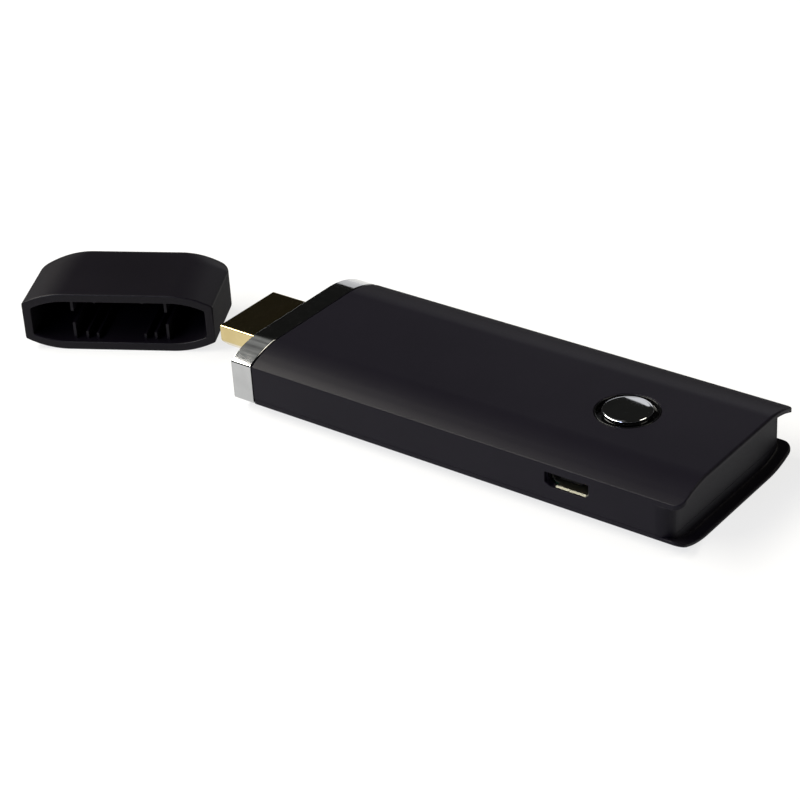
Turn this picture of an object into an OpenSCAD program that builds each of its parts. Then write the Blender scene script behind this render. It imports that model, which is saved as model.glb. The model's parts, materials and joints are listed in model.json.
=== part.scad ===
// Wireless display stick that plugs into a screen, with its push button, its power socket
// and its plug cap taken off and lying beside the plug. Millimetres, +Z up. The stick lies flat
// along X with its plug towards -X. The origin is the middle of the flat strip underneath.

/* [Body] */
// Length from the collar's face to the rear lips
body_len = 82.4; // [80:0.1:92]
// Width across the upright side walls
body_w = 32.7; // [32:0.1:36]
// Height of the upright side walls, from crease to crease
side_h = 6.6; // [6.5:0.1:7.6]
// Rise of each domed face above its crease
dome_h = 1.9; // [1.7:0.1:2.2]
// Width of the flat strip along the middle of each domed face
flat_w = 17.6; // [16:0.1:19]
// Wall thickness of the case
case_wall = 1.3; // [1.1:0.1:1.5]

/* [Rear end] */
// How far the rear wall lies inside the two lips
rear_recess = 1.9; // [1:0.1:2.6]
// Thickness of the two lips
lip_t = 0.65; // [0.5:0.05:0.9]
// Plan radius of the rear wall's corners
rear_corner_r = 2.2; // [1:0.1:3]
// Plan radius of the lips' corners
lip_corner_r = 1.6; // [0.6:0.1:2.4]

/* [Collar] */
// Length of the bright collar along the stick
collar_len = 4; // [3:0.1:5]
// Open seam between the collar and the case
collar_seam = 0.25; // [0.1:0.05:0.5]

/* [Video plug] */
// Width of the plug's metal shell
plug_w = 13.9; // [13:0.1:14.6]
// Thickness of the plug's metal shell
plug_h = 4.45; // [4.2:0.05:4.7]
// How far the plug stands out of the collar
plug_reach = 10.4; // [9:0.1:12]
// Length of the plug's shell inside the collar's face
plug_root = 8.1; // [7.6:0.1:9]
// Height of the plug's middle above the mid-height of the body
plug_lift = 0.2; // [0:0.05:0.4]
// Sheet thickness of the plug's shell
plug_t = 0.3; // [0.2:0.05:0.4]

/* [Power socket] */
// Distance of the socket and the button from the rear lips
port_from_rear = 19; // [17:0.1:21]
// Width of the socket's metal shell
socket_w = 7.5; // [7:0.1:8.4]
// Height of the socket's metal shell
socket_h = 2.6; // [2.4:0.05:2.8]
// Depth of the socket from its mouth to its back
socket_depth = 5.2; // [4.6:0.1:6]
// Thickness of the case in front of the socket's shell
port_lip = 0.35; // [0.25:0.05:0.6]

/* [Button] */
// Radius of the button
button_r = 4; // [3.4:0.1:4.4]
// Radius of the round hole for the bezel in the top of the case
bezel_r = 5.05; // [4.8:0.05:5.4]
// Depth of the bezel's floor below the top of the case
bezel_sink = 0.8; // [0.6:0.05:0.9]
// Height of the button's top above the bezel's floor
button_rise = 1.27; // [1.1:0.01:1.6]
// How far the button goes down
button_travel = 0.3; // [0.2:0.05:0.35]

/* [Plug cap] */
// Length of the cap from its mouth to its closed end
cap_len = 17.6; // [16:0.1:20]
// Wall thickness of the cap
cap_wall = 1.5; // [1.2:0.1:1.8]
// Plan radius of the closed end's corners
cap_corner_r = 5.2; // [3:0.1:7]
// Radius of the closed end's upper and lower edges
cap_edge_r = 2; // [1:0.1:2.6]
// Distance of the mouth's middle ahead of the collar's face
cap_ahead = 28.8; // [28.8:0.1:34]
// Sideways distance of the mouth's middle from the stick's centre line
cap_aside = 11.75; // [11:0.05:13]
// Angle that the cap is turned away from the stick
cap_turn = 61.5; // [60:0.5:63]

/* [Circuit board] */
// Thickness of the board
board_t = 1; // [0.8:0.1:1.2]
// Height of the board's underside above the resting face
board_z = 3.8; // [3.6:0.1:3.9]
// Gap between the board's edge and the case
board_gap = 0.55; // [0.4:0.05:0.8]

/* [Hidden] */
$fn = 96;

// Overrun of every cut, and the slack between fixed pieces that slide together
cut = 0.5;
slack = 0.05;

// Body section: two arcs run from the flat strip to the creases
body_h = side_h + 2 * dome_h;
dome_run = (body_w - flat_w) / 2;
dome_r = (dome_run * dome_run + dome_h * dome_h) / (2 * dome_h);
mid_z = body_h / 2;
top_in_z = body_h - case_wall;

// Stations along the stick
nose_x = -body_len / 2;
rear_x = body_len / 2;
case_x = nose_x + collar_len + collar_seam;
wall_x = rear_x - rear_recess;
hollow_x = wall_x - case_wall;
port_x = rear_x - port_from_rear;

// Height of the parting line, just above the lower lip's sides, and the fine rebate that marks it
lip_side_z = dome_r - sqrt((dome_r - lip_t) * (dome_r - lip_t) - dome_run * dome_run);
seam_z = lip_side_z + slack;
rebate_d = 0.12;
rebate_h = 0.15;
skirt_t = 0.7;
skirt_gap = 0.3;

// Nose plate: a face with the plug's slot, and a rim that fills the collar and enters the case
plate_inset = 0.4;
plate_face_t = 1.4;
plate_rim_t = 1;
plate_entry = 2.1;
plate_x = nose_x + plate_inset;
plate_end_x = case_x + plate_entry;

// Plug section: upright sides, then the two lower corners are cut away
plug_z = mid_z + plug_lift;
plug_side_share = 0.62;
plug_foot_share = 0.76;
plug_edge_r = 0.4;
plug_tip_x = nose_x - plug_reach;
plug_end_x = nose_x + plug_root;
plug_tab = [1.2, 1.7, 0.3];
plug_recess = 0.6;
mouth_w_share = 0.84;
mouth_h = 2.1;
mouth_depth = 7;
contact_pitch = 1;
contact_w = 0.45;
contact_t = 0.2;
contact_counts = [10, 9];
contact_foot = 1.2;

// Circuit board, its front notch for the plug and its four locating posts
board_top_z = board_z + board_t;
board_x = plate_end_x + slack;
board_end_x = hollow_x - board_gap;
board_len = board_end_x - board_x;
board_w = body_w - 2 * case_wall - 2 * board_gap;
notch_gap = 0.3;
notch_end_x = plug_end_x + 2 * contact_t + slack;
post_r = 1.5;
pin_r = 0.7;
pin_slack = 0.06;
pin_rise = 2;
front_post_inset = 5.8;
rear_post_inset = 4.1;
side_post_inset = 2.3;

// Power socket: the shell's lower corners are cut away
socket_t = 0.25;
socket_cut = 0.7;
port_margin = 0.08;
socket_y = port_lip - body_w / 2;
socket_z = board_top_z + socket_h / 2;
socket_back_t = 1.5;
socket_tab = [0.9, 1.3, 0.3];
tongue = [3.7, 2.9, 0.65];
tongue_rise = 0.25;
socket_pin_pitch = 0.65;
socket_pin = [0.35, 2.5, 0.12];
socket_pin_count = 5;

// Bezel and button
bezel_rim_t = 0.25;
bezel_flange_w = 1.1;
bezel_flange_t = 0.5;
bezel_floor_z = body_h - bezel_sink;
bezel_low_z = top_in_z - bezel_flange_t;
stem_r = 1.6;
stem_slack = 0.15;
stem_flange_w = 0.6;
stem_flange_t = 0.4;
stem_foot_r = 1.2;
button_edge_r = 0.35;
button_crown = 0.12;
button_floor_gap = 0.1;
button_low_z = bezel_floor_z + button_travel + button_floor_gap;
button_top_z = bezel_floor_z + button_rise;

// Push switch under the button: a snap dome lies in the base, under the stem
switch_size = [4.5, 4.5, 1.7];
switch_cover_t = 0.2;
switch_well_r = 1.6;
switch_floor_t = 0.6;
switch_dome_r = 1.5;
switch_dome_h = 0.5;
switch_dome_t = 0.08;
switch_foot_r = 1.4;
switch_foot_t = 0.4;
switch_pin_r = 1;
switch_pin_rise = 0.9;
switch_slack = 0.1;
switch_top_z = board_top_z + switch_size.z;
switch_well_z = board_top_z + switch_floor_t;
switch_foot_z = switch_well_z + switch_dome_h + slack;
stem_top_z = switch_top_z + switch_cover_t + switch_pin_rise;

// Heat spreader over the processor, pressed down by two ribs of the case
spreader_size = [24, 19, 0.9];
pad_size = [12, 12, 1];
rib_t = 1;
rib_len_share = 0.8;
rib_apart_share = 0.7;

// Chips and small pieces: length, width and height, and places as shares of the board's width
processor_size = [14, 14, 1.4];
memory_size = [8.5, 10.5, 1.1];
memory_y_share = 0.235;
flash_size = [5.3, 7.9, 1.6];
power_chip_size = [3, 3, 0.8];
power_chip_y_share = 0.04;
inductor_size = [3.8, 3.8, 1.8];
inductor_y_shares = [-0.37, -0.19];
tantalum_size = [3.5, 2.8, 1.9];
tantalum_y_shares = [0.18, 0.33];
ceramic_size = [0.5, 1, 0.5];
ceramic_count = 8;
ceramic_spread_share = 0.72;
resistor_size = [0.5, 1, 0.35];
resistor_count = 8;
resistor_spread_share = 0.5;
choke_size = [1.25, 2, 0.9];
choke_count = 4;
choke_spread_share = 0.31;
surge_size = [1, 2.5, 0.5];
surge_y_shares = [-0.09, 0.09];
crystal_size = [2.5, 3.2, 0.75];
crystal_gap = 1.4;

// Order of the chips from the plug's contacts to the socket, as lengths along the board, and the
// share of the free length that lies before each
chip_lengths = [
    choke_size.x, surge_size.x, resistor_size.x, processor_size.x, ceramic_size.x, memory_size.x,
    inductor_size.x
];
chip_gap_shares = [0.158, 0.053, 0.072, 0.163, 0.079, 0.057, 0.218];
chips_x = plug_end_x + contact_t + contact_foot;
chips_end_x = port_x - socket_w / 2 + socket_t / 2 - socket_tab.x;
chips_free = chips_end_x - chips_x - total(chip_lengths, len(chip_lengths));
choke_x = chip_x(0);
surge_x = chip_x(1);
resistor_x = chip_x(2);
processor_x = chip_x(3);
ceramic_x = chip_x(4);
memory_x = chip_x(5);
power_x = chip_x(6);

// Radio and antenna, placed from the board's rear end
wifi_board_size = [9.6, 11.5, 0.6];
wifi_end_gap = 1.8;
wifi_y_share = 0.06;
wifi_chip_size = [5, 5, 0.7];
can_margin = 0.5;
can_h = 1.6;
can_t = 0.15;
antenna_len = 17;
antenna_h = 2.8;
antenna_t = 0.3;
antenna_foot = [1.2, 1.3];
antenna_gap = 4.3;
antenna_inset = 1.6;
wifi_place = [board_end_x - wifi_end_gap - wifi_board_size.x / 2, wifi_y_share * board_w];
antenna_x = board_end_x - rear_post_inset - post_r - antenna_gap - antenna_len / 2;

// Cap: the outlines that round its closed end lie this far outside its walls, so that they cross
// them and never lie on them
rounding_gap = 0.02;

// Grip ribs in the cap's mouth, as distances from its middle and heights of the two halves
guide_rib_y = 8;
guide_rib_t = 0.45;
guide_rib_hi = 2.2;
guide_rib_lo = 3;
grip_rib_t = 0.4;
grip_top_y = 4.1;
grip_top_h = 0.7;
grip_low = [[4.1, 1.1], [5.9, 1.4]];
rib_back = 1.2;
rib_len_in = 11;

// Profile in Y and Z drawn along X
module along_x(x0, x1) {
    translate([x0, 0, 0]) rotate([90, 0, 90]) linear_extrude(x1 - x0) children();
}

// Profile in X and Z drawn along Y
module along_y(y0, y1) {
    translate([0, y1, 0]) rotate([90, 0, 0]) linear_extrude(y1 - y0) children();
}

// Box with its middle over a point and its underside at a height
module block(size, at, z) {
    translate([at.x - size.x / 2, at.y - size.y / 2, z]) cube(size);
}

// Sum of the first n numbers of a list
function total(list, n) = n == 0 ? 0 : list[n - 1] + total(list, n - 1);

// Middle of a chip in the order from the plug's contacts to the socket
function chip_x(i) =
    chips_x + total(chip_lengths, i) + chip_lengths[i] / 2 + total(chip_gap_shares, i + 1) * chips_free;

// Body section, moved inwards all round, or with a width of its own
module section(inset, w = body_w) {
    low = inset;
    top = body_h - inset;
    r = dome_r - inset;
    translate([-flat_w / 2, low]) square([flat_w, top - low]);
    for (s = [-1, 1]) {
        intersection() {
            translate([s * flat_w / 2, top - r]) circle(r);
            translate([s * flat_w / 2, low + r]) circle(r);
            translate([s * w / 4 - w / 4, low]) square([w / 2, top - low]);
        }
    }
}

// Section of the body's hollow or of what slides into it
module inner_section(inset) {
    section(inset, body_w - 2 * inset);
}

// Plan of a piece that ends at x1 with two rounded corners
module round_end(x0, x1, w, r) {
    translate([x0, -w / 2]) square([x1 - r - x0, w]);
    translate([x0, r - w / 2]) square([x1 - x0, w - 2 * r]);
    for (s = [-1, 1]) {
        translate([x1 - r, s * (w / 2 - r)]) circle(r);
    }
}

// Outside of the case before it is split, with the hollow rear end between its lips
module case_outside() {
    difference() {
        intersection() {
            along_x(case_x, rear_x) section(0);
            linear_extrude(body_h) round_end(case_x, rear_x, body_w, lip_corner_r);
        }
        intersection() {
            along_x(wall_x - rear_corner_r, rear_x + cut) section(lip_t, body_w + 2 * cut);
            difference() {
                translate([wall_x - rear_corner_r, -body_w / 2 - cut, 0])
                    cube([rear_recess + rear_corner_r + cut, body_w + 2 * cut, body_h]);
                linear_extrude(body_h) round_end(case_x, wall_x, body_w, rear_corner_r);
            }
        }
    }
}

// Case with its hollow
module case_shell() {
    difference() {
        case_outside();
        along_x(case_x - cut, hollow_x) inner_section(case_wall);
    }
}

// The half of space above or below the parting line
module above_seam() {
    translate([nose_x - cut, -body_w, seam_z]) cube([body_len + 2 * cut, 2 * body_w, body_h]);
}

module below_seam() {
    translate([nose_x - cut, -body_w, seam_z - body_h]) cube([body_len + 2 * cut, 2 * body_w, body_h]);
}

// Places of the four locating posts
function post_places() = [
    for (x = [board_x + front_post_inset, board_end_x - rear_post_inset])
        for (s = [-1, 1]) [x, s * (board_w / 2 - side_post_inset)]
];

// Plug section: a rectangle with rounded upper edges and cut lower corners
module plug_section(inset) {
    w = plug_w / 2 - inset;
    top = plug_z + plug_h / 2 - inset;
    low = plug_z - plug_h / 2 + inset;
    side_low = plug_z + plug_h / 2 - plug_side_share * plug_h;
    foot = plug_foot_share * plug_w / 2 - inset / 2;
    r = max(plug_edge_r - inset, plug_t / 4);
    polygon([
        [-w, side_low], [-foot, low], [foot, low], [w, side_low], [w, top - r], [-w, top - r]
    ]);
    translate([r - w, side_low]) square([2 * (w - r), top - side_low]);
    for (s = [-1, 1]) {
        translate([s * (w - r), top - r]) circle(r);
    }
}

// Socket section in X and Z, moved inwards all round
module socket_section(inset) {
    w = socket_w / 2 - inset;
    h = socket_h / 2 - inset;
    c = socket_cut - inset / 2;
    translate([port_x, socket_z])
        polygon([[-w, h], [-w, c - h], [c - w, -h], [w - c, -h], [w, c - h], [w, h]]);
}

// Top of the case with its side walls: holes for the bezel and the socket, bosses and ribs inside
module top_case() {
    color("#211f22") difference() {
        union() {
            intersection() {
                case_shell();
                above_seam();
            }
            intersection() {
                union() {
                    for (p = post_places()) {
                        translate([p.x, p.y, board_top_z]) cylinder(r = post_r, h = body_h - board_top_z);
                    }
                    top_ribs();
                }
                along_x(case_x, hollow_x) section(case_wall / 2);
            }
        }
        for (p = post_places()) {
            translate([p.x, p.y, board_top_z - cut])
                cylinder(r = pin_r + pin_slack, h = cut + pin_rise + slack);
        }
        translate([port_x, 0, mid_z]) cylinder(r = bezel_r, h = body_h);
        translate([case_x, case_wall - body_w / 2, 0])
            cube([hollow_x - case_x, body_w - 2 * case_wall, mid_z]);
        along_y(-body_w / 2 - cut, socket_y) socket_section(socket_t - port_margin);
        along_y(socket_y - slack, case_wall - body_w / 2 + cut) socket_section(-slack);
        difference() {
            translate([case_x - cut, -body_w, seam_z - rebate_h])
                cube([body_len, 2 * body_w, 2 * rebate_h]);
            along_x(nose_x, rear_x + cut) inner_section(rebate_d);
        }
    }
}

// The two ribs that press the heat spreader down
module top_ribs() {
    for (s = [-1, 1]) {
        translate([
            processor_x - rib_len_share * spreader_size.x / 2,
            s * rib_apart_share * spreader_size.y / 2 - rib_t / 2,
            spreader_z() + spreader_size.z
        ])
            cube([rib_len_share * spreader_size.x, rib_t, body_h]);
    }
}

function spreader_z() = board_top_z + processor_size.z + pad_size.z;

// Bottom of the case with its lower lip, the board's posts and pins, and the skirts of the joint
module bottom_cover() {
    skirt_y = body_w / 2 - case_wall - slack;
    skirt_top = board_z - skirt_gap;
    color("#201e21") {
        intersection() {
            case_shell();
            below_seam();
        }
        intersection() {
            union() {
                for (s = [-1, 1]) {
                    translate([plate_end_x + slack, s * (skirt_y - skirt_t / 2) - skirt_t / 2, dome_h / 2])
                        cube([hollow_x - board_gap - plate_end_x, skirt_t, skirt_top - dome_h / 2]);
                }
                for (p = post_places()) {
                    translate([p.x, p.y, 0]) cylinder(r = post_r, h = board_z);
                    translate([p.x, p.y, 0]) cylinder(r = pin_r, h = board_top_z + pin_rise);
                }
            }
            along_x(case_x, hollow_x) section(case_wall / 2);
        }
    }
}

// Bright collar round the plug end, with the same outside as the case
module nose_collar() {
    color("#b4b6b9") along_x(nose_x, nose_x + collar_len) difference() {
        section(0);
        inner_section(case_wall);
    }
}

// Plate that closes the nose round the plug, with a rim that joins the collar to the case
module nose_plate() {
    color("#1b1a1c") difference() {
        along_x(plate_x, plate_end_x) inner_section(case_wall + slack);
        along_x(plate_x + plate_face_t, plate_end_x + cut) inner_section(case_wall + plate_rim_t);
        along_x(plate_x - cut, plate_end_x) plug_section(-slack);
    }
}

// Metal shell of the video plug, open in front, with two solder tabs on the board
module plug_shell() {
    tab_x = board_x + slack;
    color("#c8b482") {
        along_x(plug_tip_x, plug_end_x) difference() {
            plug_section(0);
            plug_section(plug_t);
        }
        for (s = [-1, 1]) {
            translate([
                tab_x,
                s * (plug_w / 2 - plug_t / 2 + plug_tab.y / 2) - plug_tab.y / 2,
                board_top_z
            ])
                cube(plug_tab);
        }
    }
}

// One contact spring: along the mouth's wall, then down or up to a foot on the board
module contact(y, s) {
    lane_z = plug_z + s * (mouth_h / 2 + contact_t);
    foot_z = s > 0 ? board_top_z : board_z;
    end_x = plug_end_x + contact_t;
    low = min(lane_z, foot_z + (s > 0 ? 0 : -contact_t));
    high = max(lane_z, foot_z + (s > 0 ? contact_t : 0));
    along_y(y - contact_w / 2, y + contact_w / 2) {
        translate([plug_tip_x + 2 * plug_recess, s > 0 ? lane_z - contact_t : lane_z])
            square([end_x - plug_tip_x - 2 * plug_recess + contact_t, contact_t]);
        translate([end_x, low]) square([contact_t, high - low]);
        translate([end_x, s > 0 ? foot_z : foot_z - contact_t])
            square([contact_foot, contact_t]);
    }
}

// Rows of contact springs, above and below the mouth
module contact_rows() {
    for (row = [0, 1]) {
        s = 1 - 2 * row;
        n = contact_counts[row];
        for (i = [0:n - 1]) {
            contact((i - (n - 1) / 2) * contact_pitch, s);
        }
    }
}

module plug_contacts() {
    color("#d0b45a") contact_rows();
}

// Plastic inside the plug's shell, with the mouth and a groove for each contact
module plug_insulator() {
    mouth_w = mouth_w_share * plug_w;
    color("#161517") difference() {
        along_x(plug_tip_x + plug_recess, plug_end_x) plug_section(plug_t);
        translate([plug_tip_x, -mouth_w / 2, plug_z - mouth_h / 2])
            cube([plug_recess + mouth_depth, mouth_w, mouth_h]);
        contact_rows();
    }
}

// Glossy cup round the button, held under the case by a flange
module button_bezel() {
    r = bezel_r - slack;
    color("#0e0d0f") translate([port_x, 0, 0]) rotate_extrude() difference() {
        union() {
            translate([0, bezel_low_z]) square([r, body_h - bezel_low_z]);
            translate([0, bezel_low_z]) square([r + bezel_flange_w, bezel_flange_t]);
        }
        translate([0, bezel_floor_z]) square([r - bezel_rim_t, bezel_sink + cut]);
        translate([0, bezel_low_z - cut]) square([stem_r + stem_slack, body_h]);
    }
}

// Bright button: a crowned disc on a stem that is held under the bezel by a flange
module button_cap() {
    crown_r = (button_r * button_r + button_crown * button_crown) / (2 * button_crown);
    flange_z = bezel_low_z - slack - stem_flange_t;
    h = button_top_z - button_low_z;
    color("#c9cacc") translate([port_x, 0, 0]) rotate_extrude() {
        intersection() {
            union() {
                translate([0, button_low_z]) square([button_r, h - button_edge_r - button_crown]);
                translate([0, button_low_z]) square([button_r - button_edge_r, h]);
                translate([button_r - button_edge_r, button_top_z - button_crown - button_edge_r])
                    circle(button_edge_r);
            }
            translate([0, button_top_z - crown_r]) circle(crown_r, $fn = 720);
            translate([0, button_low_z]) square([button_r, h]);
        }
        translate([0, stem_top_z]) square([stem_foot_r, flange_z - stem_top_z]);
        translate([0, flange_z]) square([stem_r + stem_flange_w, stem_flange_t]);
        translate([0, flange_z]) square([stem_r, button_low_z - flange_z]);
    }
}

// Base of the push switch, with a round well
module switch_base() {
    color("#1d1c1e") difference() {
        block(switch_size, [port_x, 0], board_top_z);
        translate([port_x, 0, switch_well_z]) cylinder(r = switch_well_r, h = switch_size.z);
    }
}

// Sheet-metal cover of the push switch
module switch_cover() {
    color("#b9bbbe") difference() {
        block([switch_size.x, switch_size.y, switch_cover_t], [port_x, 0], switch_top_z);
        translate([port_x, 0, switch_top_z - cut])
            cylinder(r = switch_pin_r + switch_slack, h = switch_cover_t + 2 * cut);
    }
}

// Snap dome that gives the click and pushes the stem back up
module switch_dome() {
    r = (switch_dome_r * switch_dome_r + switch_dome_h * switch_dome_h) / (2 * switch_dome_h);
    color("#a9abae") translate([port_x, 0, 0]) rotate_extrude() intersection() {
        difference() {
            translate([0, switch_well_z + switch_dome_h - r]) circle(r);
            translate([0, switch_well_z + switch_dome_h - r]) circle(r - switch_dome_t);
        }
        translate([0, switch_well_z]) square([switch_dome_r, switch_dome_h]);
    }
}

// Stem of the push switch, with a foot under the cover
module switch_stem() {
    color("#3a2b22") translate([port_x, 0, 0]) {
        translate([0, 0, switch_foot_z]) cylinder(r = switch_foot_r, h = switch_foot_t);
        translate([0, 0, switch_foot_z]) cylinder(r = switch_pin_r, h = stem_top_z - switch_foot_z);
    }
}

// Metal shell of the power socket, with a tab on each side
module socket_shell() {
    color("#c3c1b4") {
        along_y(socket_y, socket_y + socket_depth) difference() {
            socket_section(0);
            socket_section(socket_t);
        }
        for (s = [-1, 1]) {
            translate([
                port_x + s * (socket_w / 2 - socket_t / 2 + socket_tab.x / 2) - socket_tab.x / 2,
                socket_y + socket_depth / 2 - socket_tab.y / 2,
                board_top_z
            ])
                cube([socket_tab.x, socket_tab.y, socket_cut + socket_tab.z]);
        }
    }
}

// Spring contacts under the socket's tongue
module socket_contacts() {
    n = socket_pin_count;
    color("#d0b45a") for (i = [0:n - 1]) {
        translate([
            port_x + (i - (n - 1) / 2) * socket_pin_pitch - socket_pin.x / 2,
            socket_y + socket_depth - socket_back_t - socket_pin.y,
            socket_z + tongue_rise - tongue.z / 2 - socket_pin.z
        ])
            cube(socket_pin);
    }
}

// Plastic of the power socket: a back block and a tongue
module socket_insulator() {
    back_y = socket_y + socket_depth - socket_back_t;
    color("#151416") {
        along_y(back_y, back_y + socket_back_t) socket_section(socket_t);
        translate([port_x - tongue.x / 2, back_y - tongue.y, socket_z + tongue_rise - tongue.z / 2])
            cube([tongue.x, tongue.y + slack, tongue.z]);
    }
}

// Circuit board with a notch for the plug and a hole for each pin
module main_board() {
    notch_w = plug_w + 2 * notch_gap;
    color("#1f5a3a") difference() {
        translate([board_x, -board_w / 2, board_z]) cube([board_len, board_w, board_t]);
        translate([board_x - cut, -notch_w / 2, board_z - cut])
            cube([notch_end_x - board_x + cut, notch_w, board_t + 2 * cut]);
        for (p = post_places()) {
            translate([p.x, p.y, board_z - cut])
                cylinder(r = pin_r + pin_slack, h = board_t + 2 * cut);
        }
    }
}

module processor() {
    color("#26262a") block(processor_size, [processor_x, 0], board_top_z);
}

// Soft pad that carries the processor's heat to the spreader
module thermal_pad() {
    color("#8fa3b5") block(pad_size, [processor_x, 0], board_top_z + processor_size.z);
}

module heat_spreader() {
    color("#bfc2c5") block(spreader_size, [processor_x, 0], spreader_z());
}

module memory_chips() {
    color("#242427") for (s = [-1, 1]) {
        block(memory_size, [memory_x, s * memory_y_share * board_w], board_top_z);
    }
}

module flash_chip() {
    color("#242427") block(flash_size, [ceramic_x, 0], board_z - flash_size.z);
}

module power_chip() {
    color("#242427") block(power_chip_size, [power_x, power_chip_y_share * board_w], board_top_z);
}

module power_inductors() {
    color("#55565a") for (share = inductor_y_shares) {
        block(inductor_size, [power_x, share * board_w], board_top_z);
    }
}

module tantalum_capacitors() {
    color("#b98a2c") for (share = tantalum_y_shares) {
        block(tantalum_size, [power_x, share * board_w], board_top_z);
    }
}

// Evenly spread row of like pieces across the board
module row(size, x, count, spread_share) {
    for (i = [0:count - 1]) {
        block(size, [x, (i / (count - 1) - 1 / 2) * spread_share * board_w], board_top_z);
    }
}

module ceramic_capacitors() {
    color("#a58a6a") row(ceramic_size, ceramic_x, ceramic_count, ceramic_spread_share);
}

module resistors() {
    color("#2b2b2e") row(resistor_size, resistor_x, resistor_count, resistor_spread_share);
}

module line_chokes() {
    color("#3a3a3e") row(choke_size, choke_x, choke_count, choke_spread_share);
}

module surge_arrays() {
    color("#2b2b2e") for (share = surge_y_shares) {
        block(surge_size, [surge_x, share * board_w], board_top_z);
    }
}

module clock_crystal() {
    y = processor_size.y / 2 + crystal_gap + crystal_size.y / 2;
    color("#c5c7c9") block(crystal_size, [processor_x, y], board_top_z);
}

// Small board of the radio, soldered flat on the main board
module wifi_board() {
    color("#1b3f6e") block(wifi_board_size, wifi_place, board_top_z);
}

module wifi_chip() {
    color("#242427") block(wifi_chip_size, wifi_place, board_top_z + wifi_board_size.z);
}

// Sheet-metal can over the radio chip
module wifi_shield() {
    z = board_top_z + wifi_board_size.z;
    w = wifi_board_size.x - 2 * can_margin;
    d = wifi_board_size.y - 2 * can_margin;
    color("#c0c2c5") difference() {
        block([w, d, can_h], wifi_place, z);
        block([w - 2 * can_t, d - 2 * can_t, can_h - can_t], wifi_place, z);
    }
}

// Stamped antenna that stands on the board along the far side, on two feet
module antenna() {
    y = board_w / 2 - antenna_inset;
    rise = antenna_h / 2;
    color("#cfd0d2") {
        translate([antenna_x - antenna_len / 2, y, board_top_z + rise])
            cube([antenna_len, antenna_t, antenna_h - rise]);
        for (k = [0, 1]) {
            x = antenna_x - antenna_len / 2 + k * antenna_len / 3;
            translate([x, y, board_top_z]) cube([antenna_foot.x, antenna_t, rise]);
            translate([x, y - antenna_foot.y, board_top_z])
                cube([antenna_foot.x, antenna_foot.y, antenna_t]);
        }
    }
}

// Outside of the cap, moved inwards all round, with its mouth at x = 0 and its end towards -X
module cap_form(inset) {
    end_x = cap_len - inset;
    edge_r = cap_edge_r - inset / 2;
    corner_r = cap_corner_r - inset;
    mirror([1, 0, 0]) intersection() {
        along_x(0, end_x) inner_section(inset);
        linear_extrude(body_h)
            round_end(0, end_x, body_w - 2 * inset + 2 * rounding_gap, corner_r);
        along_y(-body_w, body_w) translate([0, mid_z])
            round_end(0, end_x, body_h - 2 * inset + 2 * rounding_gap, edge_r);
    }
}

// Hollow of the cap, run out through its mouth
module cap_hollow() {
    cap_form(cap_wall);
    along_x(-cut, cut) inner_section(cap_wall);
}

// Grip ribs in the cap: two split guides beside the plug, short ribs above and below it
module cap_ribs() {
    x0 = -rib_back - rib_len_in;
    len = rib_len_in;
    for (s = [-1, 1]) {
        translate([x0, s * guide_rib_y - guide_rib_t / 2, 0]) {
            translate([0, 0, body_h - cap_wall - guide_rib_hi])
                cube([len, guide_rib_t, guide_rib_hi + cap_wall / 2]);
            translate([0, 0, cap_wall / 2]) cube([len, guide_rib_t, guide_rib_lo + cap_wall / 2]);
        }
        translate([x0, s * grip_top_y - grip_rib_t / 2, body_h - cap_wall - grip_top_h])
            cube([len, grip_rib_t, grip_top_h + cap_wall / 2]);
        for (g = grip_low) {
            translate([x0, s * g[0] - grip_rib_t / 2, cap_wall / 2])
                cube([len, grip_rib_t, g[1] + cap_wall / 2]);
        }
    }
}

// Push-on cap of the plug, lying on its flat side where it was put down
module plug_cap() {
    color("#1a181b") translate([nose_x - cap_ahead, -cap_aside, 0]) rotate([0, 0, -cap_turn]) {
        difference() {
            cap_form(0);
            cap_hollow();
        }
        cap_ribs();
    }
}

top_case();
bottom_cover();
nose_collar();
nose_plate();
plug_cap();
plug_shell();
plug_insulator();
plug_contacts();
button_bezel();
button_cap();
switch_base();
switch_cover();
switch_dome();
switch_stem();
socket_shell();
socket_insulator();
socket_contacts();
main_board();
processor();
thermal_pad();
heat_spreader();
memory_chips();
flash_chip();
power_chip();
power_inductors();
tantalum_capacitors();
ceramic_capacitors();
resistors();
line_chokes();
surge_arrays();
clock_crystal();
wifi_board();
wifi_chip();
wifi_shield();
antenna();
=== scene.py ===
"""Looks of a wireless display stick that plugs into a screen, with its plug cap lying beside it.

Lengths are in millimetres unless a name or comment says otherwise; MM turns them into metres.
"""

import json
import math

import bmesh
import bpy
from mathutils import Matrix, Quaternion, Vector


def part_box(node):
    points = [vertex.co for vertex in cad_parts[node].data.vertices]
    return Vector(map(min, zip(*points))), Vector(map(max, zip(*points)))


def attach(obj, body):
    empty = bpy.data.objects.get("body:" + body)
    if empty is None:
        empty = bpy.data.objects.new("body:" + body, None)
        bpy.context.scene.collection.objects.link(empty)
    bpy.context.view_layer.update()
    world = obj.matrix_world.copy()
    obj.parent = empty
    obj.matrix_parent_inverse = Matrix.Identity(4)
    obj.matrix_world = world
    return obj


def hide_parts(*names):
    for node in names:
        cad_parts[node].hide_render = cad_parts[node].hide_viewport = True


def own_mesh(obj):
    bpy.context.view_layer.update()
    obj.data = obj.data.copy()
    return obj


MM = 0.001

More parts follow.
